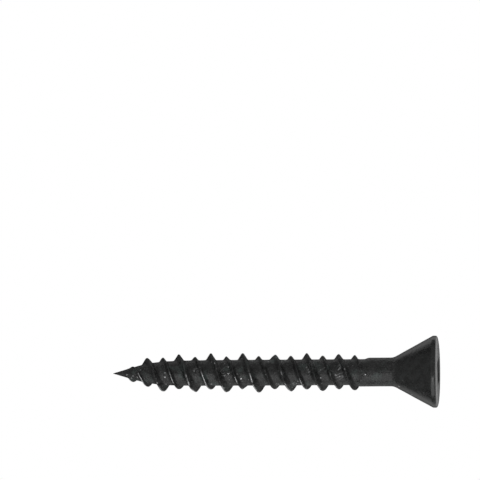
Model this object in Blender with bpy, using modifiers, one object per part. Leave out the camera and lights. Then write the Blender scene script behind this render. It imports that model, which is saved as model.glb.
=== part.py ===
"""A countersunk wood screw with a two-start thread, formed from one piece of steel wire.

The screw is modelled standing on its point along Z, and an empty lays it along X with its head at +X.
Straight out from the axis, angle 0 becomes +Y of the finished part, and 90 degrees becomes +Z.
"""

import math

import bmesh
import bpy

# Overall sizes, in metres.
LENGTH = 0.0381
HEAD_DIAMETER = 0.0084
SHANK_DIAMETER = 0.00336
ROOT_DIAMETER = 0.00302

# Head: a steep cone, then a low rim that bulges slightly and rounds over onto the flat face.
HEAD_SLOPE = math.radians(28.7)
RIM_BULGE_RADIUS = 0.0011
RIM_TURNS_IN = math.radians(10)
RIM_TURNS_OVER = math.radians(12)
FACE_ROUNDING_ACROSS = 0.00078
FACE_ROUNDING_ALONG = 0.00022
NECK_FILLET = 0.0014

# Square drive recess, open at the head's face.
DRIVE_WIDTH = 0.00282
DRIVE_DEPTH = 0.0026
DRIVE_POINT = 0.0005
DRIVE_TAPER = math.radians(1.5)
DRIVE_ANGLE = math.radians(15)

# Point and thread. Heights are measured up from the tip.
POINT_SLOPE = 0.3
POINT_END = 0.014
LEAD = 0.00374
START_ANGLE = math.radians(-28)
RISE_LENGTH = 0.003
THREAD_END = 0.0297
RUN_OUT = 0.0013
STEP_HEIGHT = 0.0292
STEP_LENGTH = 0.0006

# The ridges stand on the root and their sides lean inwards. The high one gets lower towards the head.
FLANK_ANGLE = math.radians(28)
CREST_WIDTH = 0.00008
RIDGE_FOOT = 0.00012
HIGH_RIDGE = 0.00078
HIGH_RIDGE_AT_HEAD = 0.00062
HIGH_RIDGE_FALLS_FROM = 0.017
HIGH_THREAD_START = 0.0015
LOW_RIDGE = 0.00045
LOW_THREAD_START = 0.00175
SMALLEST_RIDGE = 0.35
BURIED_END = 0.1

# Fineness of the round shapes.
ROUND_STEPS = 32
HELIX_STEPS = 20
ARC_STEPS = 4
POINT_STEPS = 14
MERGE = 0.00001
SHARP_ANGLE = math.radians(35)

TURN = 2 * math.pi


def clear_scene():
    for old in list(bpy.data.objects):
        bpy.data.objects.remove(old)


def new_collection(name):
    made = bpy.data.collections.new(name)
    bpy.context.scene.collection.children.link(made)
    return made


def clamp(value):
    return min(max(value, 0.0), 1.0)


def ease(value):
    """0 below 0, 1 above 1, and an even S between."""
    value = clamp(value)
    return value * value * (3 - 2 * value)


def bulge(value):
    """0 below 0, 1 above 1, and a parabola that flattens out at 1 between."""
    left = 1 - clamp(value)
    return 1 - left * left


def root_radius(height):
    """A cone at the tip that bends over into the even root."""
    cone = POINT_SLOPE * height
    root = ROOT_DIAMETER / 2
    return cone / (1 + (cone / root) ** 4) ** 0.25


def arc(centre_radius, centre_height, across, along, start, end):
    """Points (radius, height) of an oval with those half sizes, from one angle to another."""
    points = []
    for n in range(ARC_STEPS + 1):
        angle = start + (end - start) * n / ARC_STEPS
        points.append((centre_radius + across * math.cos(angle), centre_height + along * math.sin(angle)))
    return points


def rim_profile():
    """The head's outline from the face's flat part, over its rounding and down the rim to the cone."""
    meets = math.atan(math.tan(RIM_TURNS_OVER) * FACE_ROUNDING_ALONG / FACE_ROUNDING_ACROSS)
    rim_middle = HEAD_DIAMETER / 2 - RIM_BULGE_RADIUS
    meeting_radius = rim_middle + RIM_BULGE_RADIUS * math.cos(RIM_TURNS_OVER)
    flat_radius = meeting_radius - FACE_ROUNDING_ACROSS * math.cos(meets)
    rounding_height = LENGTH - FACE_ROUNDING_ALONG
    rounding = arc(flat_radius, rounding_height, FACE_ROUNDING_ACROSS, FACE_ROUNDING_ALONG, TURN / 4, meets)
    rim_height = rounding[-1][1] - RIM_BULGE_RADIUS * math.sin(RIM_TURNS_OVER)
    rim = arc(rim_middle, rim_height, RIM_BULGE_RADIUS, RIM_BULGE_RADIUS, RIM_TURNS_OVER, -RIM_TURNS_IN)
    return rounding + rim[1:]


def core_profile():
    """The outline without the thread, from the face's middle down the outside to the tip."""
    shank = SHANK_DIAMETER / 2
    points = [(0.0, LENGTH)] + rim_profile()
    cone_radius, cone_height = points[-1]
    neck_radius = shank + NECK_FILLET * (1 - math.cos(HEAD_SLOPE))
    neck_height = cone_height - (cone_radius - neck_radius) / math.tan(HEAD_SLOPE)
    fillet_height = neck_height - NECK_FILLET * math.sin(HEAD_SLOPE)
    fillet_end = TURN / 2 - HEAD_SLOPE
    points += arc(shank + NECK_FILLET, fillet_height, NECK_FILLET, NECK_FILLET, fillet_end, TURN / 2)
    points.append((shank, STEP_HEIGHT + STEP_LENGTH))
    points.append((ROOT_DIAMETER / 2, STEP_HEIGHT))
    for n in range(POINT_STEPS):
        height = POINT_END * (1 - n / POINT_STEPS) ** 1.5
        points.append((root_radius(height), height))
    points.append((0.0, 0.0))
    return points


def add_core(holder, parts):
    """The turned body: the profile's edges with a Screw modifier."""
    mesh = bpy.data.meshes.new("screw")
    points = [(radius, 0.0, height) for radius, height in core_profile()]
    edges = [(n, n + 1) for n in range(len(points) - 1)]
    mesh.from_pydata(points, edges, [])
    core = bpy.data.objects.new("screw", mesh)
    parts.objects.link(core)
    core.parent = holder
    turn = core.modifiers.new("turn", "SCREW")
    turn.axis = "Z"
    turn.angle = TURN
    turn.steps = ROUND_STEPS
    turn.render_steps = ROUND_STEPS
    turn.use_merge_vertices = True
    turn.merge_threshold = MERGE
    return core


def as_mesh(curve_object, tools):
    """The curve's surface as a mesh object with its end caps welded on. The curve is removed."""
    bpy.context.view_layer.update()
    graph = bpy.context.evaluated_depsgraph_get()
    evaluated = curve_object.evaluated_get(graph)
    mesh = bpy.data.meshes.new_from_object(evaluated)
    solid = bmesh.new()
    solid.from_mesh(mesh)
    bmesh.ops.remove_doubles(solid, verts=solid.verts, dist=MERGE / 10)
    bmesh.ops.recalc_face_normals(solid, faces=solid.faces)
    solid.to_mesh(mesh)
    solid.free()
    mesh.shade_smooth()
    mesh.set_sharp_from_angle(angle=SHARP_ANGLE)
    name = curve_object.name
    holder = curve_object.parent
    bpy.data.objects.remove(curve_object)
    made = bpy.data.objects.new(name, mesh)
    tools.objects.link(made)
    made.parent = holder
    hide_tool(made)
    return made


def hide_tool(tool):
    tool.hide_render = True
    tool.display_type = "WIRE"


def ridge_section(name, ridge, tools):
    """A flat closed outline of a full-size ridge: its foot is under the root and its crest stands above."""
    foot = CREST_WIDTH / 2 + (ridge + RIDGE_FOOT) * math.tan(FLANK_ANGLE)
    crest = CREST_WIDTH / 2
    corners = [(-RIDGE_FOOT, -foot), (ridge, -crest), (ridge, crest), (-RIDGE_FOOT, foot)]
    curve = bpy.data.curves.new(name, "CURVE")
    curve.dimensions = "2D"
    spline = curve.splines.new("POLY")
    spline.points.add(len(corners) - 1)
    for point, (outward, along) in zip(spline.points, corners):
        point.co = (outward, along, 0, 1)
    spline.use_cyclic_u = True
    section = bpy.data.objects.new(name, curve)
    tools.objects.link(section)
    hide_tool(section)
    return section


def ridge_points(first_angle, start, ridge, ridge_at_head):
    """(x, y, z, size) along a ridge. It grows over the point, sinks away at its end, and is buried at both."""
    steps = round((THREAD_END - start) / LEAD * HELIX_STEPS)
    points = []
    for n in range(steps + 1):
        height = start + (THREAD_END - start) * n / steps
        angle = first_angle + TURN * height / LEAD
        fall = clamp((height - HIGH_RIDGE_FALLS_FROM) / (THREAD_END - HIGH_RIDGE_FALLS_FROM))
        full = ridge + (ridge_at_head - ridge) * fall
        share = bulge((height - start) / RISE_LENGTH) * ease((THREAD_END - height) / RUN_OUT)
        stands = full * (share * (1 + BURIED_END) - BURIED_END)
        size = max(stands, full * SMALLEST_RIDGE)
        radius = root_radius(height) + stands - size
        points.append((radius * math.cos(angle), radius * math.sin(angle), height, size / ridge))
    return points


def add_ridge(name, points, section, holder, tools):
    """One thread's ridge: the section swept along its helix."""
    curve = bpy.data.curves.new(name, "CURVE")
    curve.dimensions = "3D"
    curve.twist_mode = "Z_UP"
    curve.bevel_mode = "OBJECT"
    curve.bevel_object = section
    curve.use_fill_caps = True
    spline = curve.splines.new("POLY")
    spline.points.add(len(points) - 1)
    for point, (x, y, z, size) in zip(spline.points, points):
        point.co = (x, y, z, 1)
        point.radius = size
    path = bpy.data.objects.new(name, curve)
    tools.objects.link(path)
    path.parent = holder
    return as_mesh(path, tools)


def add_drive_cutter(holder, tools):
    """A square peg with a slight taper and a pointed end, standing in the head's face."""
    spare = DRIVE_WIDTH
    corner = DRIVE_WIDTH / math.sqrt(2)
    narrower = DRIVE_DEPTH * math.tan(DRIVE_TAPER) * math.sqrt(2)
    wider = spare * math.tan(DRIVE_TAPER) * math.sqrt(2)
    solid = bmesh.new()
    bmesh.ops.create_cone(
        solid,
        cap_ends=True,
        segments=4,
        radius1=corner - narrower,
        radius2=corner + wider,
        depth=DRIVE_DEPTH + spare,
    )
    floor = min(solid.faces, key=lambda face: face.calc_center_median().z)
    poked = bmesh.ops.poke(solid, faces=[floor])
    poked["verts"][0].co.z -= DRIVE_POINT
    mesh = bpy.data.meshes.new("drive_cutter")
    solid.to_mesh(mesh)
    solid.free()
    cutter = bpy.data.objects.new("drive_cutter", mesh)
    tools.objects.link(cutter)
    cutter.parent = holder
    cutter.location.z = LENGTH + (spare - DRIVE_DEPTH) / 2
    cutter.rotation_euler.z = TURN / 8 + DRIVE_ANGLE
    hide_tool(cutter)
    return cutter


def add_boolean(target, operation, tool):
    change = target.modifiers.new(tool.name, "BOOLEAN")
    change.operation = operation
    change.object = tool
    change.solver = "EXACT"


def black_phosphate():
    material = bpy.data.materials.new("black_phosphate")
    material.use_nodes = True
    shader = material.node_tree.nodes["Principled BSDF"]
    shader.inputs["Base Color"].default_value = (0.035, 0.036, 0.037, 1)
    shader.inputs["Metallic"].default_value = 0.6
    shader.inputs["Roughness"].default_value = 0.5
    return material


def main():
    clear_scene()
    parts = new_collection("wood_screw")
    tools = new_collection("cutters")
    holder = bpy.data.objects.new("laid_along_x", None)
    parts.objects.link(holder)
    holder.rotation_euler = (TURN / 4, 0, TURN / 4)
    holder.location.x = -LENGTH / 2

    screw = add_core(holder, parts)
    high_section = ridge_section("high_ridge_section", HIGH_RIDGE, tools)
    high_points = ridge_points(START_ANGLE, HIGH_THREAD_START, HIGH_RIDGE, HIGH_RIDGE_AT_HEAD)
    add_boolean(screw, "UNION", add_ridge("high_ridge", high_points, high_section, holder, tools))
    low_section = ridge_section("low_ridge_section", LOW_RIDGE, tools)
    low_points = ridge_points(START_ANGLE + TURN / 2, LOW_THREAD_START, LOW_RIDGE, LOW_RIDGE)
    add_boolean(screw, "UNION", add_ridge("low_ridge", low_points, low_section, holder, tools))
    add_boolean(screw, "DIFFERENCE", add_drive_cutter(holder, tools))
    screw.data.materials.append(black_phosphate())


main()
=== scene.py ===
"""The looks of a black countersunk wood screw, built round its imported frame.

The screw lies on a light table, on the edge of its head and on its thread, so the table leans a little in the
screw's own frame, where the axis is X and the head is at +X. All lengths are in metres.
"""

import logging
import math
from dataclasses import dataclass
from enum import Enum

import bmesh
import bpy
from mathutils import Matrix, Vector, noise


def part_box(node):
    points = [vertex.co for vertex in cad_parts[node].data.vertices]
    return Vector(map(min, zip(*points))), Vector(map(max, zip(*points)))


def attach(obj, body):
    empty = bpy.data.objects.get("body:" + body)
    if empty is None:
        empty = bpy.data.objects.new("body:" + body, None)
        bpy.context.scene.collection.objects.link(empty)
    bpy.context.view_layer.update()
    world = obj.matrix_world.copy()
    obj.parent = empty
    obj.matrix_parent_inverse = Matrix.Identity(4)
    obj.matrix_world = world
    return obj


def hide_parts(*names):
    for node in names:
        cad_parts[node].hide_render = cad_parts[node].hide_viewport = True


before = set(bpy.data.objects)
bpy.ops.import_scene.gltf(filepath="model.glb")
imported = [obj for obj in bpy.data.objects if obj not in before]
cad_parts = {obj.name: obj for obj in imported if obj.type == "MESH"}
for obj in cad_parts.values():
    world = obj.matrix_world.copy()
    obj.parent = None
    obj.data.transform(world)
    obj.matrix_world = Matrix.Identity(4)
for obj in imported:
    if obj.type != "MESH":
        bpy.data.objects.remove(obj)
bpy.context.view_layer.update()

LOG = logging.getLogger("wood_screw")
TURN = 2 * math.pi
CAD_NODE = "screw"
RIDGE_SHARE = "ridge"
BEND_SHARPNESS = 4
FAR_FROM_CORNER = 30

Spot = tuple[float, float]


class Zone(Enum):
    """A stretch of the screw with a finish of its own. The value is its place in the material list."""

    THREAD = 0
    SHANK = 1
    CONE = 2
    RIM = 3
    FACE = 4
    RECESS = 5


def clamp(value: float) -> float:
    """The value, kept between 0 and 1."""
    return min(max(value, 0.0), 1.0)


def ease(value: float) -> float:
    """0 below 0, 1 above 1, and an even S between."""
    value = clamp(value)
    return value * value * (3 - 2 * value)


def blend_into(rising: float, limit: float) -> float:
    """The rising length while it is well under the limit, then the limit, with a soft bend between."""
    return rising / (1 + (rising / limit) ** BEND_SHARPNESS) ** (1 / BEND_SHARPNESS)


def bulge(value: float) -> float:
    """0 below 0, 1 above 1, and a parabola that flattens out at 1 between."""
    left = 1 - clamp(value)
    return 1 - left * left


def soft_above_zero(value: float, rounding: float) -> float:
    """The value where it is well above 0, and 0 well below, with a rounded corner between.

    Args:
        value: Any length.
        rounding: How far from 0 the rounding reaches, roughly.

    Returns:
        A length of 0 or more.
    """
    share = value / rounding
    if share > FAR_FROM_CORNER:
        return value
    if share < -FAR_FROM_CORNER:
        return 0.0
    return rounding * math.log1p(math.exp(share))


def wander(place: Vector, seed: float, size: float) -> float:
    """Smooth noise between about -1 and 1 over the screw's surface.

    Args:
        place: A point of the surface.
        seed: Moves to another part of the noise.
        size: The width of its bumps.

    Returns:
        The noise there.
    """
    return noise.noise(place / size + Vector((seed, 3 * seed, 7 * seed)))


@dataclass(frozen=True)
class Lumps:
    """The soft lumps that forging and rolling leave in a surface."""

    depth: float
    width: float
    seed: float

    def at(self, place: Vector, share: float = 1.0) -> float:
        """How far the surface stands out at a place, with the depth taken down to that share."""
        return self.depth * share * wander(place, self.seed, self.width)


class Skin:
    """A mesh under construction, made of points and of the faces that join them."""

    def __init__(self) -> None:
        """Starts with no points."""
        self.points: list[tuple[float, float, float]] = []
        self.ridge_share: list[float] = []
        self.faces: list[tuple[int, ...]] = []
        self.zones: list[Zone] = []

    def add_point(self, height: float, radius: float, angle: float, share: float = 0.0) -> int:
        """Adds a point by its height above the tip, its radius and its angle round the axis.

        Args:
            height: Distance from the tip, along the axis.
            radius: Distance from the axis.
            angle: 0 at +Y and a quarter turn at +Z, in radians.
            share: How far up a thread's ridge it is, from 0 at the root to 1 on the crest.

        Returns:
            The point's number.
        """
        self.points.append((height, radius * math.cos(angle), radius * math.sin(angle)))
        self.ridge_share.append(share)
        return len(self.points) - 1

    def add_face(self, corners: tuple[int, ...], zone: Zone) -> None:
        """Adds a face by its corners' numbers."""
        self.faces.append(corners)
        self.zones.append(zone)

    def join(self, lower: list[int], upper: list[int], zone: Zone) -> None:
        """Joins two rings of equally many points by a band of faces.

        Args:
            lower: The ring that comes first on the way from the tip, over the rim and into the recess.
            upper: The ring after it.
            zone: The zone of the band.
        """
        count = len(lower)
        for n in range(count):
            after = (n + 1) % count
            self.add_face((lower[n], upper[n], upper[after], lower[after]), zone)

    def close(self, ring: list[int], middle: int, zone: Zone, outwards: bool) -> None:
        """Closes a ring with a fan of triangles round a middle point.

        Args:
            ring: The ring.
            middle: The middle point's number.
            zone: The zone of the fan.
            outwards: True at the tip, False at the recess's floor.
        """
        count = len(ring)
        for n in range(count):
            after = (n + 1) % count
            pair = (ring[n], ring[after]) if outwards else (ring[after], ring[n])
            self.add_face((middle, *pair), zone)

    def as_object(self, name: str, start: float, merge: float) -> bpy.types.Object:
        """Makes the mesh object, with points that share a place welded together.

        Args:
            name: The object's name.
            start: The tip's place on the X axis.
            merge: Points closer than this are welded.

        Returns:
            The object, linked to the scene.
        """
        mesh = bpy.data.meshes.new(name)
        mesh.from_pydata([(start + x, y, z) for x, y, z in self.points], [], self.faces)
        mesh.polygons.foreach_set("material_index", [zone.value for zone in self.zones])
        share = mesh.attributes.new(RIDGE_SHARE, "FLOAT", "POINT")
        share.data.foreach_set("value", self.ridge_share)
        solid = bmesh.new()
        solid.from_mesh(mesh)
        bmesh.ops.remove_doubles(solid, verts=solid.verts, dist=merge)
        bmesh.ops.recalc_face_normals(solid, faces=solid.faces)
        solid.to_mesh(mesh)
        solid.free()
        made = bpy.data.objects.new(name, mesh)
        bpy.context.scene.collection.objects.link(made)
        return made


@dataclass(frozen=True)
class Ridge:
    """One of the two rolled ridges. Heights along the screw are measured from the tip.

    Its crest stands `stands` above the root, and from `falls_from` it falls to `stands_at_head` at its
    end. It comes out of the root over the length `rise` and goes back over `run_out`. Its flat top is as
    wide as `crest`, and `slant` is how far each side spreads for a unit of height. `phase` says how far
    along the lead it starts, as a share.
    """

    stands: float
    stands_at_head: float
    starts: float
    phase: float
    crest: float = 0.00009
    crest_rounding: float = 0.000018
    slant: float = math.tan(math.radians(29))
    foot_rounding: float = 0.00012
    sharp_foot: float = 0.000001
    full_foot_from: float = 0.0003
    full_width_from: float = 0.00015
    falls_from: float = 0.017
    ends: float = 0.0297
    run_out: float = 0.0013
    rise: float = 0.003
    buried: float = 0.1

    def height_at(self, height: float) -> float:
        """How far the crest stands above the root.

        Args:
            height: Where along the screw.

        Returns:
            The crest's height above the root, 0 past either end of the ridge.
        """
        fall = clamp((height - self.falls_from) / (self.ends - self.falls_from))
        full = self.stands + (self.stands_at_head - self.stands) * fall
        share = bulge((height - self.starts) / self.rise) * ease((self.ends - height) / self.run_out)
        return max(0.0, full * (share * (1 + self.buried) - self.buried))

    def half_width(self, standing: float) -> float:
        """Half the width of the ridge's foot, along the axis, where it stands that high."""
        return (self.crest / 2 + standing * self.slant) * clamp(standing / self.full_width_from)

    def surface(self, off: float, standing: float) -> float:
        """The height of the ridge's surface above the root.

        Args:
            off: Distance from the crest's middle, along the axis.
            standing: How far the crest stands above the root there.

        Returns:
            The height, with the crest's corners and the foot's corners rounded.
        """
        if standing <= 0.0:
            return 0.0
        drop = soft_above_zero(abs(off) - self.crest / 2, self.crest_rounding) / self.slant
        foot = self.foot_rounding * clamp(standing / self.full_foot_from)
        return soft_above_zero(standing - drop, max(foot, self.sharp_foot))


@dataclass(frozen=True)
class ThreadedShank:
    """The point and the thread: two ridges that wind round a slim root, a half turn apart.

    The mesh's rows run along the ridges. `flank_stops` places the rows beside a crest, as shares of the
    ridge's half width there, and `root_rows` more lie between one ridge's last row and the next ridge's.
    """

    shank: float
    lead: float = 0.00374
    root: float = 0.00151
    point_slope: float = 0.3
    first_angle: float = math.radians(-28)
    high: Ridge = Ridge(stands=0.00078, stands_at_head=0.00062, starts=0.0015, phase=0.0)
    low: Ridge = Ridge(stands=0.00045, stands_at_head=0.00045, starts=0.00175, phase=0.5)
    tip_rings: int = 9
    tip_crowding: float = 1.2
    grid_from: float = 0.0012
    grid_to: float = 0.0301
    flank_stops: tuple[float, ...] = (0.0, 0.07, 0.13, 0.21, 0.38, 0.6, 0.8, 0.94, 1.1, 1.34, 1.75)
    root_rows: int = 3
    step_at: float = 0.0292
    step_leans: float = 0.00055
    step_length: float = 0.0006
    least_standing: float = 0.0001
    crest_lumps: Lumps = Lumps(depth=0.00008, width=0.0018, seed=1.7)
    root_lumps: Lumps = Lumps(depth=0.000010, width=0.0006, seed=4.1)
    flats: Lumps = Lumps(depth=0.0004, width=0.0024, seed=9.2)
    flats_from: float = 0.12
    flats_above: float = 0.0003
    even_point: float = 0.004

    def slim_radius(self, height: float) -> float:
        """The radius under the ridges, up the point and on to the step."""
        return blend_into(self.point_slope * height, self.root)

    def root_radius(self, height: float, angle: float) -> float:
        """The radius under the ridges, and past the leaning step that of the plain shank.

        Args:
            height: Where along the screw.
            angle: The angle round the axis.

        Returns:
            The radius.
        """
        slim = self.slim_radius(height)
        middle = self.step_at + self.step_leans * math.cos(angle)
        share = ease((height - middle) / self.step_length + 0.5)
        return slim + (self.shank - self.root) * share

    def crest_height(self, ridge: Ridge, turn: int, angle: float) -> float:
        """Where a ridge's crest passes an angle, along the axis, on that turn."""
        return self.lead * (turn + ridge.phase + (angle - self.first_angle) / TURN)

    def row_places(self, turn: int, angle: float) -> list[tuple[Ridge, float, float]]:
        """The grid's rows over one turn at one angle, from a high ridge's near side to the next one's.

        Args:
            turn: Which turn of the thread, counted from the tip.
            angle: The angle round the axis.

        Returns:
            For each row, the ridge it belongs to, its height along the screw and its distance off the crest.
        """
        rows: list[tuple[Ridge, float, float]] = []
        pairs = ((self.high, turn, self.low, turn), (self.low, turn, self.high, turn + 1))
        for ridge, own_turn, following, next_turn in pairs:
            crest = self.crest_height(ridge, own_turn, angle)
            half = ridge.half_width(ridge.height_at(crest))
            offs = [-half * stop for stop in reversed(self.flank_stops[1:])]
            offs += [half * stop for stop in self.flank_stops]
            rows += [(ridge, crest + off, off) for off in offs]
            next_crest = self.crest_height(following, next_turn, angle)
            next_half = following.half_width(following.height_at(next_crest))
            last = crest + half * self.flank_stops[-1]
            first = next_crest - next_half * self.flank_stops[-1]
            for n in range(1, self.root_rows + 1):
                place = last + (first - last) * n / (self.root_rows + 1)
                rows.append((ridge, place, place - crest))
        return rows

    def add_grid(self, skin: Skin, segments: int) -> tuple[list[int], list[int]]:
        """Adds the helical grid, whose rows follow the ridges, between two plain rings.

        Args:
            skin: The mesh to add to.
            segments: Points in one turn.

        Returns:
            The first ring and the last ring.
        """
        spare = 2
        turns = math.ceil(self.grid_to / self.lead) + spare
        columns: list[list[int]] = []
        for n in range(segments):
            angle = TURN * n / segments
            column: list[int] = []
            for turn in range(-spare, turns):
                for ridge, height, off in self.row_places(turn, angle):
                    column.append(self.add_grid_point(skin, ridge, height, off, angle))
            columns.append(column)
        rows_a_turn = len(self.row_places(0, 0.0))
        for n, column in enumerate(columns):
            shift = rows_a_turn if n == segments - 1 else 0
            after = columns[(n + 1) % segments]
            for row in range(len(column) - 1):
                if row + 1 + shift < len(after):
                    self.add_cell(skin, column, after, row, row + shift)
        angles = [TURN * n / segments for n in range(segments)]
        first = [skin.add_point(*self.edge_of_grid(self.grid_from, angle)) for angle in angles]
        last = [skin.add_point(*self.edge_of_grid(self.grid_to, angle)) for angle in angles]
        return first, last

    def edge_of_grid(self, height: float, angle: float) -> tuple[float, float, float]:
        """A point of one of the grid's two plain end rings, as height, radius and angle."""
        return height, self.root_radius(height, angle), angle

    def add_grid_point(self, skin: Skin, ridge: Ridge, height: float, off: float, angle: float) -> int:
        """Adds one point of the grid. A point past either end lies on the plain ring there.

        Args:
            skin: The mesh to add to.
            ridge: The ridge that the point belongs to.
            height: Where along the screw.
            off: Distance from the ridge's crest, along the axis.
            angle: The angle round the axis.

        Returns:
            The point's number.
        """
        if height <= self.grid_from or height >= self.grid_to:
            height = min(max(height, self.grid_from), self.grid_to)
            return skin.add_point(*self.edge_of_grid(height, angle))
        standing = ridge.height_at(height - off)
        over = ridge.surface(off, standing)
        share = over / max(standing, self.least_standing)
        radius = max(self.slim_radius(height) + over, self.root_radius(height, angle))
        place = Vector((height, radius * math.cos(angle), radius * math.sin(angle)))
        uneven = self.crest_lumps.at(place, share) + self.root_lumps.at(place)
        uneven -= self.flattened(place, share) * clamp(over / self.flats_above)
        return skin.add_point(height, radius + uneven * clamp(height / self.even_point), angle, share)

    def flattened(self, place: Vector, share: float) -> float:
        """How far a crest is knocked flat at a place, by how far up the ridge it is."""
        knock = clamp(wander(place, self.flats.seed, self.flats.width) - self.flats_from)
        return self.flats.depth * share * share * knock

    def add_cell(self, skin: Skin, column: list[int], after: list[int], row: int, row_after: int) -> None:
        """Adds the face between two rows and two columns, unless it lies past the grid's ends.

        Args:
            skin: The mesh to add to.
            column: The grid's points at one angle.
            after: Its points at the next angle.
            row: The lower row's place in the column.
            row_after: The same row's place in the next column.
        """
        corners = (column[row], column[row + 1], after[row_after + 1], after[row_after])
        heights = [skin.points[corner][0] for corner in corners]
        if min(heights) < self.grid_to and max(heights) > self.grid_from:
            skin.add_face(corners, Zone.THREAD)

    def add_tip(self, skin: Skin, first: list[int]) -> None:
        """Adds the needle point.

        Args:
            skin: The mesh to add to.
            first: The grid's first ring.
        """
        segments = len(first)
        upper = first
        for ring in range(1, self.tip_rings):
            height = self.grid_from * (1 - ring / self.tip_rings) ** self.tip_crowding
            radius = self.slim_radius(height)
            lower = [skin.add_point(height, radius, TURN * n / segments) for n in range(segments)]
            skin.join(lower, upper, Zone.THREAD)
            upper = lower
        skin.close(upper, skin.add_point(0.0, 0.0, 0.0), Zone.THREAD, outwards=True)


@dataclass(frozen=True)
class Head:
    """The neck, the steep cone, the rim and the flat face's edge.

    The rim is a shallow arc of radius `rim_curve`. It turns in by `rim_turns_in` at the cone's end and
    over by `rim_turns_over` at the other, where a flat oval rounds it into the face.
    """

    length: float
    radius: float
    shank: float
    slope: float = math.radians(28.7)
    rim_turns_in: float = math.radians(10)
    rim_turns_over: float = math.radians(12)
    rim_curve: float = 0.0011
    corner: float = 0.00004
    rounding_across: float = 0.00078
    rounding_along: float = 0.00022
    neck_fillet: float = 0.0014
    lumps: Lumps = Lumps(depth=0.000006, width=0.0013, seed=2.3)
    even_edge: float = 0.0003
    arc_steps: int = 6
    cone_rings: int = 22
    shank_rings: int = 12

    @property
    def face_radius(self) -> float:
        """The radius of the face's flat part."""
        leans_in = self.rim_curve * (1 - math.cos(self.rim_turns_over))
        return self.radius - leans_in - self.rounding_across * math.cos(self.rounding_start)

    @property
    def rounding_start(self) -> float:
        """The angle of the rounding's oval at which it takes over from the rim."""
        return math.atan(math.tan(self.rim_turns_over) * self.rounding_along / self.rounding_across)

    def arc(self, centre: Vector, size: Vector, start: float, end: float) -> list[Vector]:
        """Points of an oval in the outline's plane, each a height and a radius.

        Args:
            centre: The oval's middle.
            size: Half its size along the axis and across it.
            start: The angle it starts at, 0 being straight out from the axis.
            end: The angle it ends at, a quarter turn being towards the face.

        Returns:
            The points.
        """
        points = []
        for n in range(self.arc_steps + 1):
            angle = start + (end - start) * n / self.arc_steps
            points.append(centre + Vector((size.x * math.sin(angle), size.y * math.cos(angle))))
        return points

    def rim_outline(self) -> list[Vector]:
        """The outline from the cone's end, over the slightly barrelled rim and its rounding, to the face.

        Returns:
            The points, each a height and a radius.
        """
        size = Vector((self.rounding_along, self.rounding_across))
        centre = Vector((self.length - self.rounding_along, self.face_radius))
        over = self.arc(centre, size, self.rounding_start, TURN / 4)
        turned = self.rim_turns_over
        centre = over[0] - self.rim_curve * Vector((math.sin(turned), math.cos(turned)))
        band = self.arc(centre, Vector((self.rim_curve, self.rim_curve)), -self.rim_turns_in, turned)
        turned = self.rim_turns_in
        centre = band[0] - self.corner * Vector((-math.sin(turned), math.cos(turned)))
        under = self.arc(centre, Vector((self.corner, self.corner)), -self.slope, -turned)
        return under[:-1] + band[:-1] + over

    def outline(self, start: float) -> list[tuple[float, float, Zone]]:
        """The outline from the plain shank to the face's edge.

        Args:
            start: Height of the shank's first ring, just past the thread.

        Returns:
            For each ring its height, its radius and the zone of the band below it.
        """
        rim = self.rim_outline()
        cone_height, cone_radius = rim[0]
        neck_radius = self.shank + self.neck_fillet * (1 - math.cos(self.slope))
        neck_height = cone_height - (cone_radius - neck_radius) / math.tan(self.slope)
        neck_start = neck_height - self.neck_fillet * math.sin(self.slope)
        centre = Vector((neck_start, self.shank + self.neck_fillet))
        size = Vector((self.neck_fillet, self.neck_fillet))
        neck = self.arc(centre, size, TURN / 2, TURN / 2 - self.slope)
        rings = []
        for n in range(1, self.shank_rings):
            rings.append((start + (neck_start - start) * n / self.shank_rings, self.shank, Zone.SHANK))
        rings += [(height, radius, Zone.SHANK) for height, radius in neck]
        for n in range(1, self.cone_rings):
            share = n / self.cone_rings
            height = neck_height + (cone_height - neck_height) * share
            rings.append((height, neck_radius + (cone_radius - neck_radius) * share, Zone.CONE))
        rings.append((cone_height, cone_radius, Zone.CONE))
        rings += [(height, radius, Zone.RIM) for height, radius in rim[1:]]
        return rings

    def add(self, skin: Skin, start: float, first: list[int]) -> list[int]:
        """Adds the rest of the plain shank, and the head up to the face's edge.

        Args:
            skin: The mesh to add to.
            start: Height of the shank's first ring.
            first: That ring.

        Returns:
            The ring at the face's edge.
        """
        lower = first
        segments = len(first)
        for height, radius, zone in self.outline(start):
            upper = []
            for n in range(segments):
                angle = TURN * n / segments
                place = Vector((height, radius * math.cos(angle), radius * math.sin(angle)))
                uneven = self.lumps.at(place) if radius < self.radius - self.even_edge else 0.0
                upper.append(skin.add_point(height, radius + uneven, angle))
            skin.join(lower, upper, zone)
            lower = upper
        return lower


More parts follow.
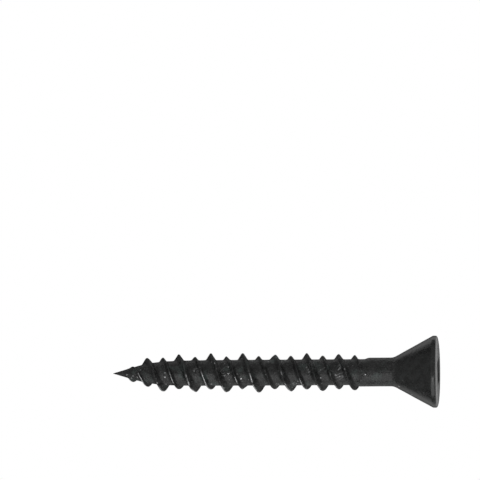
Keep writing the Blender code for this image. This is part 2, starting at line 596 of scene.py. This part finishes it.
@dataclass(frozen=True)
class DriveRecess:
    """The square hollow in the head's face, with rounded corners and a pointed floor."""

    length: float
    width: float = 0.00282
    depth: float = 0.0026
    floor_point: float = 0.0005
    taper: float = math.radians(1.5)
    angle: float = math.radians(15)
    corner: float = 0.00022
    side_share: float = 0.62
    mouth: float = 0.00006
    mouth_middle: float = 0.3
    face_rings: int = 5
    wall_rings: int = 10
    floor_rings: int = 5

    def outline(self, segments: int, size: float) -> list[tuple[float, float]]:
        """Points (radius, angle) round a square with rounded corners.

        Args:
            segments: How many points.
            size: Half the square's width.

        Returns:
            The points, of which `side_share` lie on the sides and the others on the corners.
        """
        corner = min(self.corner, size / 2)
        straight = size - corner
        points = []
        for n in range(segments):
            share = (n / segments - (self.angle - TURN / 8) / TURN) % 1 * 4
            quarter, part = int(share), share % 1
            if part < self.side_share:
                x, y = size, -straight + 2 * straight * (part / self.side_share)
            else:
                bend = (part - self.side_share) / (1 - self.side_share) * TURN / 4
                x, y = straight + corner * math.cos(bend), straight + corner * math.sin(bend)
            angle = math.atan2(y, x) + quarter * TURN / 4 + self.angle
            points.append((math.hypot(x, y), angle))
        return points

    def add(self, skin: Skin, edge: list[int], edge_radius: float) -> None:
        """Adds the flat face from its edge inwards, the mouth, the walls and the floor.

        Args:
            skin: The mesh to add to.
            edge: The face's outer ring.
            edge_radius: That ring's radius.
        """
        segments = len(edge)
        half = self.width / 2
        upper = edge
        mouth = self.outline(segments, half + self.mouth)
        for ring in range(1, self.face_rings + 1):
            share = ring / self.face_rings
            row = []
            for n, (radius, angle) in enumerate(mouth):
                at = edge_radius + (radius - edge_radius) * share
                plain = TURN * n / segments
                turned = plain + ((angle - plain + TURN / 2) % TURN - TURN / 2) * share
                row.append(skin.add_point(self.length, at, turned))
            skin.join(upper, row, Zone.FACE)
            upper = row
        for size, sunk in self.levels(half):
            outline = self.outline(segments, size)
            row = [skin.add_point(self.length - sunk, radius, angle) for radius, angle in outline]
            skin.join(upper, row, Zone.RECESS)
            upper = row
        bottom = skin.add_point(self.length - self.depth - self.floor_point, 0.0, 0.0)
        skin.close(upper, bottom, Zone.RECESS, outwards=False)

    def levels(self, half: float) -> list[tuple[float, float]]:
        """The rings of the mouth's rounding, the walls and the floor.

        Args:
            half: Half the recess's width.

        Returns:
            For each ring its half-width and its depth.
        """
        middle = self.mouth * self.mouth_middle
        levels = [(half + middle, middle), (half, self.mouth)]
        narrow = self.depth * math.tan(self.taper)
        for n in range(1, self.wall_rings + 1):
            share = n / self.wall_rings
            levels.append((half - narrow * share, self.mouth + (self.depth - self.mouth) * share))
        for n in range(1, self.floor_rings):
            share = n / self.floor_rings
            levels.append(((half - narrow) * (1 - share), self.depth + self.floor_point * share))
        return levels


Socket = bpy.types.NodeSocket
Value = float | tuple[float, ...] | Socket


class Nodes:
    """Short calls that add nodes to one tree, link them and hand back an output socket."""

    def __init__(self, tree: bpy.types.NodeTree) -> None:
        """Works on that tree."""
        self.tree = tree

    def give(self, socket: Socket, value: Value) -> None:
        """Gives an input its value.

        Args:
            socket: The input.
            value: An output to link it to, or the value to set on it.
        """
        if isinstance(value, Socket):
            self.tree.links.new(value, socket)
        else:
            socket.default_value = value

    def add(
        self, kind: str, inputs: dict[int | str, Value], output: int | str = 0, **settings: object
    ) -> Socket:
        """Adds a node.

        Args:
            kind: The node's type name.
            inputs: What each input is given, by name or place.
            output: The output wanted.
            **settings: The node's own properties.

        Returns:
            The output socket.
        """
        node = self.tree.nodes.new(kind)
        for name, setting in settings.items():
            setattr(node, name, setting)
        for place, value in inputs.items():
            self.give(node.inputs[place], value)
        return node.outputs[output]

    def math(self, operation: str, first: Value, second: Value = 0.0, third: Value = 0.0) -> Socket:
        """A Math node's result."""
        return self.add("ShaderNodeMath", {0: first, 1: second, 2: third}, operation=operation)

    def times(self, first: Value, second: Value) -> Socket:
        """Two numbers multiplied."""
        return self.math("MULTIPLY", first, second)

    def less(self, first: Value, second: Value) -> Socket:
        """The first number less the second."""
        return self.math("SUBTRACT", first, second)

    def between(self, value: Value, low: Value, high: Value) -> Socket:
        """0 where the value is at low, 1 where it is at high, and smooth between."""
        inputs = {"Value": value, "From Min": low, "From Max": high}
        return self.add("ShaderNodeMapRange", inputs, interpolation_type="SMOOTHSTEP")

    def blend(self, share: Value, first: Value, second: Value) -> Socket:
        """A number between two others."""
        return self.add("ShaderNodeMix", {0: share, 2: first, 3: second}, 0, data_type="FLOAT")

    def tint(self, share: Value, first: Value, second: Value) -> Socket:
        """A colour between two others."""
        return self.add("ShaderNodeMix", {0: share, 6: first, 7: second}, 2, data_type="RGBA")

    def stretched(self, place: Value, stretch: Value) -> Socket:
        """A place, multiplied along each axis."""
        return self.add("ShaderNodeVectorMath", {0: place, 1: stretch}, operation="MULTIPLY")

    def noise(self, place: Value, scale: Value, detail: float, rough: float) -> Socket:
        """Noise around one half."""
        inputs = {"Vector": place, "Scale": scale, "Detail": detail, "Roughness": rough}
        return self.add("ShaderNodeTexNoise", inputs, "Fac")

    def group(self, effect: bpy.types.NodeTree, inputs: dict[str, Value]) -> bpy.types.Node:
        """Places an effect's group.

        Args:
            effect: The group.
            inputs: What each of its inputs is given, by name.

        Returns:
            The group's node.
        """
        node = self.tree.nodes.new("ShaderNodeGroup")
        node.node_tree = effect
        for name, value in inputs.items():
            self.give(node.inputs[name], value)
        return node


def new_effect(
    name: str, takes: dict[str, str], gives: dict[str, str]
) -> tuple[Nodes, bpy.types.Node, bpy.types.Node]:
    """Starts a shader node group.

    Args:
        name: The group's name.
        takes: Its inputs, each with its socket type.
        gives: Its outputs, each with its socket type.

    Returns:
        The tree's helper, its input node and its output node.
    """
    tree = bpy.data.node_groups.new(name, "ShaderNodeTree")
    for label, kind in takes.items():
        tree.interface.new_socket(label, in_out="INPUT", socket_type=kind)
    for label, kind in gives.items():
        tree.interface.new_socket(label, in_out="OUTPUT", socket_type=kind)
    nodes = Nodes(tree)
    return nodes, tree.nodes.new("NodeGroupInput"), tree.nodes.new("NodeGroupOutput")


FLOAT = "NodeSocketFloat"
COLOR = "NodeSocketColor"
VECTOR = "NodeSocketVector"


class Effects:
    """The shader node groups that the screw's finishes share, each built once.

    Noise lies around one half, so a mask starts and ends at values near that.
    """

    def __init__(self) -> None:
        """Builds every group."""
        self.mottle = self.build_mottle()
        self.grain = self.build_grain()
        self.rubbed = self.build_rubbed()
        self.scuffs = self.build_scuffs()
        self.specks = self.build_specks()

    def build_mottle(self) -> bpy.types.NodeTree:
        """Cloudy patches of a phosphate coating, with a faint green cast where it is thickest.

        Returns:
            A group that puts out the coating's colour, and its tone from 0 in the dark patches to 1.
        """
        finer, wider = 6.5, 0.55
        dark_below, light_above = 0.42, 0.59
        green_from, green_full = 0.52, 0.66
        takes = {"Place": VECTOR, "Size": FLOAT, "Dark": COLOR, "Light": COLOR}
        takes |= {"Green": COLOR, "Green Share": FLOAT}
        nodes, given, result = new_effect("phosphate_mottle", takes, {"Color": COLOR, "Tone": FLOAT})
        place = given.outputs["Place"]
        scale = nodes.math("DIVIDE", 1.0, given.outputs["Size"])
        clouds = nodes.noise(place, scale, detail=6.0, rough=0.62)
        small_clouds = nodes.noise(place, nodes.times(scale, finer), detail=3.0, rough=0.7)
        both = nodes.blend(0.5, clouds, small_clouds)
        tone = nodes.between(both, dark_below, light_above)
        plain = nodes.tint(tone, given.outputs["Dark"], given.outputs["Light"])
        patches = nodes.noise(place, nodes.times(scale, wider), detail=2.0, rough=0.5)
        green = nodes.times(nodes.between(patches, green_from, green_full), given.outputs["Green Share"])
        green = nodes.times(green, tone)
        nodes.give(result.inputs["Color"], nodes.tint(green, plain, given.outputs["Green"]))
        nodes.give(result.inputs["Tone"], tone)
        return nodes.tree

    def build_grain(self) -> bpy.types.NodeTree:
        """Fine crystals and dents of the coating, and the drawn wire's faint lines along the axis.

        Returns:
            A group that puts out a height in metres, and the crystals' noise.
        """
        crystal_scale, line_scale, dent_scale = 7000.0, 5200.0, 2300.0
        along_wire = (0.06, 1.0, 1.0)
        takes = {"Place": VECTOR, "Crystal Height": FLOAT, "Line Height": FLOAT, "Dent Height": FLOAT}
        nodes, given, result = new_effect("steel_grain", takes, {"Height": FLOAT, "Grain": FLOAT})
        place = given.outputs["Place"]
        crystals = nodes.noise(place, crystal_scale, detail=2.0, rough=0.6)
        lines = nodes.noise(nodes.stretched(place, along_wire), line_scale, detail=3.0, rough=0.6)
        dents = nodes.noise(place, dent_scale, detail=3.0, rough=0.6)
        height = nodes.times(crystals, given.outputs["Crystal Height"])
        height = nodes.math("MULTIPLY_ADD", lines, given.outputs["Line Height"], height)
        height = nodes.math("MULTIPLY_ADD", dents, given.outputs["Dent Height"], height)
        nodes.give(result.inputs["Height"], height)
        nodes.give(result.inputs["Grain"], crystals)
        return nodes.tree

    def build_rubbed(self) -> bpy.types.NodeTree:
        """Where an edge has lost its coating: on the edge, in broken patches along it, and only on the lit -Y
        side.

        Returns:
            A group that puts out a mask of bare steel.
        """
        least_worn, most_worn_by, patch_softness = 0.78, 0.45, 0.07
        finer, raggedness, edge_softness = 9.0, 0.25, 0.06
        lit_side_softness = 0.0004
        takes = {"Place": VECTOR, "Edge": FLOAT, "Edge From": FLOAT, "Patch Size": FLOAT, "Amount": FLOAT}
        nodes, given, result = new_effect("rubbed_edges", takes, {"Mask": FLOAT})
        place = given.outputs["Place"]
        edge_from = given.outputs["Edge From"]
        scale = nodes.math("DIVIDE", 1.0, given.outputs["Patch Size"])
        patches = nodes.noise(place, scale, detail=3.0, rough=0.6)
        limit = nodes.less(least_worn, nodes.times(given.outputs["Amount"], most_worn_by))
        worn = nodes.between(patches, limit, nodes.math("ADD", limit, patch_softness))
        ragged = nodes.noise(place, nodes.times(scale, finer), detail=2.0, rough=0.6)
        reach = nodes.math("MULTIPLY_ADD", nodes.less(ragged, 0.5), raggedness, given.outputs["Edge"])
        on_edge = nodes.between(reach, edge_from, nodes.math("ADD", edge_from, edge_softness))
        # The worn crests are real wear, but the wear is kept to the -Y side, which faces the key light,
        # so the bare steel glints there and the unlit crests stay dark: a painted glint placed by the light.
        side = nodes.add("ShaderNodeSeparateXYZ", {"Vector": place}, "Y")
        worn = nodes.times(worn, nodes.between(side, lit_side_softness, -lit_side_softness))
        nodes.give(result.inputs["Mask"], nodes.times(worn, on_edge))
        return nodes.tree

    def build_scuffs(self) -> bpy.types.NodeTree:
        """Hair-thin handling scratches: thin level lines of a stretched noise, kept in a few places.

        Returns:
            A group that puts out a mask of bare steel.
        """
        direction = math.radians(-32)
        stretch = (260.0, 1900.0, 900.0)
        places_scale = 420.0
        fewest, most_by, softness = 0.74, 0.3, 0.05
        takes = {"Place": VECTOR, "Width": FLOAT, "Amount": FLOAT}
        nodes, given, result = new_effect("handling_scuffs", takes, {"Mask": FLOAT})
        inputs = {"Vector": given.outputs["Place"], "Axis": (0.0, 0.0, 1.0), "Angle": direction}
        turned = nodes.add("ShaderNodeVectorRotate", inputs, rotation_type="AXIS_ANGLE")
        streaks = nodes.noise(nodes.stretched(turned, stretch), 1.0, detail=1.0, rough=0.4)
        off_line = nodes.math("ABSOLUTE", nodes.less(streaks, 0.5))
        line = nodes.less(1.0, nodes.between(off_line, 0.0, given.outputs["Width"]))
        places = nodes.noise(given.outputs["Place"], places_scale, detail=2.0, rough=0.5)
        limit = nodes.less(fewest, nodes.times(given.outputs["Amount"], most_by))
        kept = nodes.between(places, limit, nodes.math("ADD", limit, softness))
        nodes.give(result.inputs["Mask"], nodes.times(line, kept))
        return nodes.tree

    def build_specks(self) -> bpy.types.NodeTree:
        """Scattered pale grains of metal dust and chipped coating, in loose clusters.

        Returns:
            A group that puts out a mask of bare steel.
        """
        finer, raggedness, core = 6.0, 0.12, 0.6
        wider, cluster_from, cluster_full, crowding = 0.28, 0.42, 0.7, 5.0
        takes = {"Place": VECTOR, "Spacing": FLOAT, "Grain": FLOAT, "Share": FLOAT}
        nodes, given, result = new_effect("metal_specks", takes, {"Mask": FLOAT})
        place = given.outputs["Place"]
        scale = nodes.math("DIVIDE", 1.0, given.outputs["Spacing"])
        ragged = nodes.noise(place, nodes.times(scale, finer), detail=1.0, rough=0.5)
        inputs = {"Vector": place, "Scale": scale, "Randomness": 1.0}
        distance = nodes.add("ShaderNodeTexVoronoi", inputs, "Distance", feature="F1")
        draw = nodes.add("ShaderNodeSeparateColor", {"Color": distance.node.outputs["Color"]}, 0)
        clusters = nodes.noise(place, nodes.times(scale, wider), detail=1.0, rough=0.5)
        crowded = nodes.times(nodes.between(clusters, cluster_from, cluster_full), crowding)
        chosen = nodes.math("LESS_THAN", draw, nodes.times(crowded, given.outputs["Share"]))
        reach = nodes.math("MULTIPLY_ADD", nodes.less(ragged, 0.5), raggedness, distance)
        grain = nodes.math("DIVIDE", given.outputs["Grain"], given.outputs["Spacing"])
        dot = nodes.less(1.0, nodes.between(reach, nodes.times(grain, core), grain))
        nodes.give(result.inputs["Mask"], nodes.times(dot, chosen))
        return nodes.tree


@dataclass(frozen=True)
class BlackPhosphate:
    """The black coating on one zone, with what handling has done to it.

    `dark` and `light` are the colours of its patches, which are as rough as `shiny` and `dull`. `green` is
    its cast, `fleck` its pale crystals and `steel` the bare metal. `rubbed`, `scuffs` and `specks` run
    from 0, none, to 1.
    """

    name: str
    dark: tuple[float, float, float] = (0.0075, 0.0077, 0.0077)
    light: tuple[float, float, float] = (0.036, 0.0365, 0.0365)
    green: tuple[float, float, float] = (0.060, 0.080, 0.074)
    green_share: float = 0.8
    fleck: tuple[float, float, float] = (0.115, 0.118, 0.116)
    fleck_share: float = 0.4
    fleck_from: float = 0.53
    fleck_full: float = 0.64
    steel: tuple[float, float, float] = (0.52, 0.525, 0.53)
    cloud_size: float = 0.0008
    dull: float = 0.46
    shiny: float = 0.27
    steel_roughness: float = 0.2
    crystal_height: float = 0.00004
    line_height: float = 0.000010
    dent_height: float = 0.00008
    rubbed: float = 0.0
    rubbed_from: float = 0.86
    rubbed_patch: float = 0.0016
    scuffs: float = 0.2
    scuff_width: float = 0.015
    specks: float = 0.05
    speck_spacing: float = 0.0005
    speck_size: float = 0.00011
    mark_strength: float = 0.9

    def build(self, effects: Effects) -> bpy.types.Material:
        """Makes the material.

        Args:
            effects: The shared node groups.

        Returns:
            The material, with the coating's mottling, grain, wear, scuffs and specks.
        """
        material = bpy.data.materials.new(self.name)
        material.use_nodes = True
        nodes = Nodes(material.node_tree)
        place = nodes.add("ShaderNodeTexCoord", {}, "Object")
        mottle = nodes.group(effects.mottle, {
            "Place": place,
            "Size": self.cloud_size,
            "Dark": (*self.dark, 1.0),
            "Light": (*self.light, 1.0),
            "Green": (*self.green, 1.0),
            "Green Share": self.green_share,
        })
        grain = nodes.group(effects.grain, {
            "Place": place,
            "Crystal Height": self.crystal_height,
            "Line Height": self.line_height,
            "Dent Height": self.dent_height,
        })
        bare = self.bare_steel(nodes, effects, place)
        flecks = nodes.between(grain.outputs["Grain"], self.fleck_from, self.fleck_full)
        flecks = nodes.times(flecks, self.fleck_share)
        coating_color = nodes.tint(flecks, mottle.outputs["Color"], (*self.fleck, 1.0))
        coating = nodes.blend(mottle.outputs["Tone"], self.shiny, self.dull)
        shader = material.node_tree.nodes["Principled BSDF"]
        nodes.give(shader.inputs["Base Color"], nodes.tint(bare, coating_color, (*self.steel, 1.0)))
        nodes.give(shader.inputs["Metallic"], bare)
        nodes.give(shader.inputs["Roughness"], nodes.blend(bare, coating, self.steel_roughness))
        inputs = {"Height": grain.outputs["Height"], "Distance": 1.0, "Strength": 1.0}
        nodes.give(shader.inputs["Normal"], nodes.add("ShaderNodeBump", inputs, "Normal"))
        return material

    def bare_steel(self, nodes: Nodes, effects: Effects, place: Value) -> Socket:
        """Adds the three kinds of wear.

        Args:
            nodes: The material's tree.
            effects: The shared node groups.
            place: The place on the screw.

        Returns:
            A mask of where the coating is gone.
        """
        rubbed = nodes.group(effects.rubbed, {
            "Place": place,
            "Edge": nodes.add("ShaderNodeAttribute", {}, "Fac", attribute_name=RIDGE_SHARE),
            "Edge From": self.rubbed_from,
            "Patch Size": self.rubbed_patch,
            "Amount": self.rubbed,
        })
        scuffs = nodes.group(effects.scuffs, {
            "Place": place,
            "Width": self.scuff_width,
            "Amount": self.scuffs,
        })
        specks = nodes.group(effects.specks, {
            "Place": place,
            "Spacing": self.speck_spacing,
            "Grain": self.speck_size,
            "Share": self.specks,
        })
        marks = nodes.math("MAXIMUM", scuffs.outputs["Mask"], specks.outputs["Mask"])
        return nodes.math("MAXIMUM", rubbed.outputs["Mask"], nodes.times(marks, self.mark_strength))


@dataclass(frozen=True)
class WoodScrew:
    """The screw: one skin over the point, the thread, the shank, the head and the drive recess."""

    low_corner: Vector
    high_corner: Vector
    shank: float = 0.00168
    segments: int = 128
    weld: float = 2e-7

    @property
    def length(self) -> float:
        """From the tip to the head's face."""
        return self.high_corner.x - self.low_corner.x

    def build(self) -> bpy.types.Object:
        """Makes the screw's mesh where the frame has it.

        Returns:
            The screw, without its finishes.
        """
        head = Head(length=self.length, radius=self.high_corner.z, shank=self.shank)
        thread = ThreadedShank(shank=self.shank)
        skin = Skin()
        first, last = thread.add_grid(skin, self.segments)
        thread.add_tip(skin, first)
        edge = head.add(skin, thread.grid_to, last)
        DriveRecess(length=self.length).add(skin, edge, head.face_radius)
        made = skin.as_object("wood_screw_body", self.low_corner.x, self.weld)
        made.data.shade_smooth()
        return made

    def dress(self, body: bpy.types.Object, effects: Effects) -> None:
        """Gives each zone of the body its finish, in the order of the zones' values.

        Args:
            body: The screw.
            effects: The shared node groups.
        """
        finishes = {
            Zone.THREAD: BlackPhosphate("thread_black_phosphate", rubbed=0.66, scuffs=0.46, specks=0.24),
            Zone.SHANK: BlackPhosphate(
                "shank_black_phosphate",
                scuffs=0.15,
                specks=0.04,
                line_height=0.00002,
            ),
            Zone.CONE: BlackPhosphate(
                "cone_black_phosphate",
                light=(0.025, 0.0265, 0.0262),
                dull=0.36,
                specks=0.04,
                green_share=0.1,
                fleck_share=0.10,
                crystal_height=0.00001,
                dent_height=0.000025,
            ),
            # The rim's coating colours are made lighter than the rest's: a painted highlight over the rim
            # band.
            Zone.RIM: BlackPhosphate(
                "rim_black_phosphate_painted_highlight",
                dark=(0.022, 0.0225, 0.0225),
                light=(0.046, 0.047, 0.047),
                dull=0.30,
                shiny=0.20,
                specks=0.03,
                green_share=0.15,
                fleck_share=0.15,
                crystal_height=0.000012,
                dent_height=0.00003,
            ),
            Zone.FACE: BlackPhosphate("face_black_phosphate", dull=0.42, scuffs=0.35, specks=0.05),
            Zone.RECESS: BlackPhosphate("recess_black_phosphate", dull=0.55, shiny=0.42, specks=0.02),
        }
        for zone in sorted(finishes, key=lambda zone: zone.value):
            body.data.materials.append(finishes[zone].build(effects))


def resting_line(points: list[Spot], balance: float) -> tuple[Spot, Spot]:
    """The two places on which a lying body rests, seen from its side.

    Args:
        points: (x, z) of the body's surface.
        balance: The x of its centre of mass.

    Returns:
        The two corners of the surface's lower hull on either side of the centre of mass.
    """
    hull: list[Spot] = []
    for x, z in sorted(points):
        while len(hull) > 1:
            (ax, az), (bx, bz) = hull[-2], hull[-1]
            if (bx - ax) * (z - az) - (bz - az) * (x - ax) > 0:
                break
            hull.pop()
        hull.append((x, z))
    for left, right in zip(hull, hull[1:]):
        if left[0] <= balance < right[0]:
            return left, right
    return hull[0], hull[-1]


@dataclass(frozen=True)
class Lamp:
    """A soft box that faces the middle of the table, leaning from straight above it towards the front."""

    name: str
    lean: float
    distance: float
    width: float
    depth: float
    brightness: float

    def build(self, stand: Matrix) -> None:
        """Makes the lamp.

        Args:
            stand: The table's frame, whose Z stands square to it.
        """
        data = bpy.data.lights.new(self.name, "AREA")
        data.shape = "RECTANGLE"
        data.size = self.width
        data.size_y = self.depth
        data.energy = self.brightness * math.pi * self.width * self.depth
        lamp = bpy.data.objects.new(self.name, data)
        bpy.context.scene.collection.objects.link(lamp)
        way = Vector((0.0, -math.sin(self.lean), math.cos(self.lean)))
        lamp.location = stand @ (way * self.distance)
        lamp.rotation_mode = "QUATERNION"
        lamp.rotation_quaternion = (stand.to_3x3() @ way).to_track_quat("Z", "Y")


@dataclass(frozen=True)
class LightTable:
    """The table that the screw lies on.

    The camera sees it white all over. Every other ray sees a glowing card that reaches `card_half_width` to
    either side, on a dark bench that is painted shade. The card glows though it is no lamp, a painted
    reflection of a lit white table. Its glow is dimmed under the screw as a painted contact shadow, and comes
    up to full over `dim_margin` beside its outline and over a shorter way past the head's face.
    """

    size: float = 3.0
    cells: int = 8
    gap: float = 0.00001
    white: float = 1.0
    painted_shade_bench_color: tuple[float, float, float, float] = (0.05, 0.05, 0.05, 1.0)
    bench_roughness: float = 0.8
    card_color: tuple[float, float, float, float] = (1.0, 1.0, 1.0, 1.0)
    card_light: float = 0.78
    card_half_width: float = 0.0125
    card_softness: float = 0.25
    dim_margin: float = 0.007
    shank_half_width: float = 0.0017
    head_half_width: float = 0.0042
    head_from: float = 0.0115
    head_to: float = 0.0185
    ahead_from: float = 0.0187
    ahead_to: float = 0.0215

    def build(self, body: bpy.types.Object) -> Matrix:
        """Makes the table under the body.

        Args:
            body: The screw.

        Returns:
            The table's frame, whose Z stands square to it.
        """
        points = [(vertex.co.x, vertex.co.z) for vertex in body.data.vertices]
        left, right = resting_line(points, self.balance(body))
        lean = math.atan2(left[1] - right[1], right[0] - left[0])
        middle = Vector((0.0, 0.0, right[1] + right[0] * math.tan(lean) - self.gap))
        stand = Matrix.Translation(middle) @ Matrix.Rotation(lean, 4, "Y")
        solid = bmesh.new()
        bmesh.ops.create_grid(solid, x_segments=self.cells, y_segments=self.cells, size=self.size / 2)
        mesh = bpy.data.meshes.new("light_table")
        solid.to_mesh(mesh)
        solid.free()
        table = bpy.data.objects.new("light_table", mesh)
        bpy.context.scene.collection.objects.link(table)
        table.matrix_world = stand
        mesh.materials.append(self.material())
        return stand

    def balance(self, body: bpy.types.Object) -> float:
        """Where a body balances.

        Args:
            body: A closed mesh.

        Returns:
            The x of its centre of mass.
        """
        volume = 0.0
        moment = 0.0
        points = body.data.vertices
        body.data.calc_loop_triangles()
        for triangle in body.data.loop_triangles:
            a, b, c = (points[n].co for n in triangle.vertices)
            share = a.dot(b.cross(c)) / 6
            volume += share
            moment += share * (a.x + b.x + c.x) / 4
        return moment / volume

    def material(self) -> bpy.types.Material:
        """The plain white that the camera sees, and for every other ray the glowing card, with its painted
        contact shadow, on a dark bench of painted shade.

        Returns:
            The material.
        """
        material = bpy.data.materials.new("light_table_card")
        material.use_nodes = True
        tree = material.node_tree
        nodes = Nodes(tree)
        # The dark bench is painted shade: the screw sees it dark where the camera sees the table white.
        bench = tree.nodes["Principled BSDF"]
        bench.inputs["Base Color"].default_value = self.painted_shade_bench_color
        bench.inputs["Roughness"].default_value = self.bench_roughness
        # The card glows though it is no lamp: a painted reflection, seen by every ray but the camera's.
        inputs = {"Color": self.card_color, "Strength": nodes.times(self.card_glow_with_painted_shadow(nodes), self.card_light)}
        card = nodes.add("ShaderNodeEmission", inputs)
        both = nodes.add("ShaderNodeAddShader", {0: bench.outputs["BSDF"], 1: card})
        plain = nodes.add("ShaderNodeEmission", {"Color": self.card_color, "Strength": self.white})
        seen = nodes.add("ShaderNodeLightPath", {}, "Is Camera Ray")
        mixed = nodes.add("ShaderNodeMixShader", {0: seen, 1: both, 2: plain})
        nodes.give(tree.nodes["Material Output"].inputs["Surface"], mixed)
        return material

    def card_glow_with_painted_shadow(self, nodes: Nodes) -> Socket:
        """Adds the nodes that shape the card's glow, dimmed under and beside the screw as a painted contact
        shadow.

        Args:
            nodes: The table material's tree.

        Returns:
            0 in the painted shadow and off the card, 1 where the card glows fully.
        """
        place = nodes.add("ShaderNodeTexCoord", {}, "Object")
        along = nodes.add("ShaderNodeSeparateXYZ", {"Vector": place}, "X")
        away = nodes.math("ABSOLUTE", along.node.outputs["Y"])
        ahead = nodes.between(along, self.ahead_from, self.ahead_to)
        narrow = self.card_half_width * (1 - self.card_softness)
        wide = self.card_half_width * (1 + self.card_softness)
        on_card = nodes.less(1.0, nodes.between(away, narrow, wide))
        # The painted contact shadow follows the screw's outline, from the shank's width out to the head's.
        inputs = {
            "Value": along,
            "From Min": self.head_from,
            "From Max": self.head_to,
            "To Min": self.shank_half_width,
            "To Max": self.head_half_width,
        }
        outline = nodes.add("ShaderNodeMapRange", inputs, interpolation_type="SMOOTHSTEP")
        # Painted contact shadow: the glow rises from the screw's outline to full over dim_margin.
        beside = nodes.between(away, outline, nodes.math("ADD", outline, self.dim_margin))
        return nodes.times(nodes.math("MAXIMUM", beside, ahead), on_card)


@dataclass(frozen=True)
class Studio:
    """The lamps, the room's light and the camera.

    The camera takes in `picture_width` at the screw, whose middle it puts to the right of and below its
    own by `right_of_middle` and `below_middle`.
    """

    room_color: tuple[float, float, float, float] = (1.0, 1.0, 1.0, 1.0)
    room_light: float = 0.30
    lens: float = 800.0
    sensor: float = 36.0
    clip_ratio: float = 50.0
    picture_width: float = 0.0560
    right_of_middle: float = 0.00412
    below_middle: float = 0.01547
    camera_lean: float = math.radians(4.5)
    camera_roll: float = math.radians(0.33)

    def build_lights(self, stand: Matrix) -> None:
        """Makes the room's dim light and the soft boxes.

        Args:
            stand: The table's frame.
        """
        world = bpy.data.worlds.new("studio")
        world.use_nodes = True
        background = world.node_tree.nodes["Background"]
        background.inputs["Color"].default_value = self.room_color
        background.inputs["Strength"].default_value = self.room_light
        bpy.context.scene.world = world
        key = Lamp("key_softbox", math.radians(27), distance=0.5, width=0.26, depth=0.10, brightness=3.5)
        front = Lamp("front_softbox", math.radians(60), distance=0.5, width=0.44, depth=0.42, brightness=1.0)
        for lamp in (key, front):
            lamp.build(stand)

    def build_camera(self, centre: Vector) -> None:
        """Places the camera over the screw, leaning towards the head, with the screw low in the picture.

        Args:
            centre: The middle of the screw.
        """
        data = bpy.data.cameras.new("camera")
        data.lens = self.lens
        data.sensor_width = self.sensor
        camera = bpy.data.objects.new("camera", data)
        bpy.context.scene.collection.objects.link(camera)
        depth = self.picture_width * self.lens / self.sensor
        back = Vector((math.sin(self.camera_lean), 0.0, math.cos(self.camera_lean)))
        aside = Vector((0.0, 1.0, 0.0)).cross(back).normalized()
        upright = Matrix((aside, back.cross(aside), back)).transposed()
        roll = Matrix.Rotation(-self.camera_roll, 3, "Z")
        seen = Vector((self.right_of_middle, -self.below_middle, -depth))
        aim = seen.rotation_difference(Vector((0.0, 0.0, -1.0))).to_matrix()
        camera.rotation_mode = "QUATERNION"
        camera.rotation_quaternion = (upright @ roll @ aim).to_quaternion()
        camera.location = centre + back * seen.length
        data.clip_start = depth / self.clip_ratio
        data.clip_end = depth * self.clip_ratio
        bpy.context.scene.camera = camera


def main() -> None:
    """Builds the screw and the studio, in order."""
    logging.basicConfig(level=logging.INFO, format="%(name)s: %(message)s")
    bpy.context.scene.view_settings.view_transform = "Standard"
    low_corner, high_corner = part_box(CAD_NODE)
    effects = Effects()
    screw = WoodScrew(low_corner, high_corner)
    body = screw.build()
    screw.dress(body, effects)
    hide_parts(CAD_NODE)
    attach(body, "root")
    LOG.info("screw: %d faces, %.2f mm long", len(body.data.polygons), screw.length * 1000)
    stand = LightTable().build(body)
    studio = Studio()
    studio.build_lights(stand)
    studio.build_camera((low_corner + high_corner) / 2)
    LOG.info("studio: the table leans %.2f degrees", math.degrees(stand.to_euler().y))


if __name__ == "__main__":
    main()
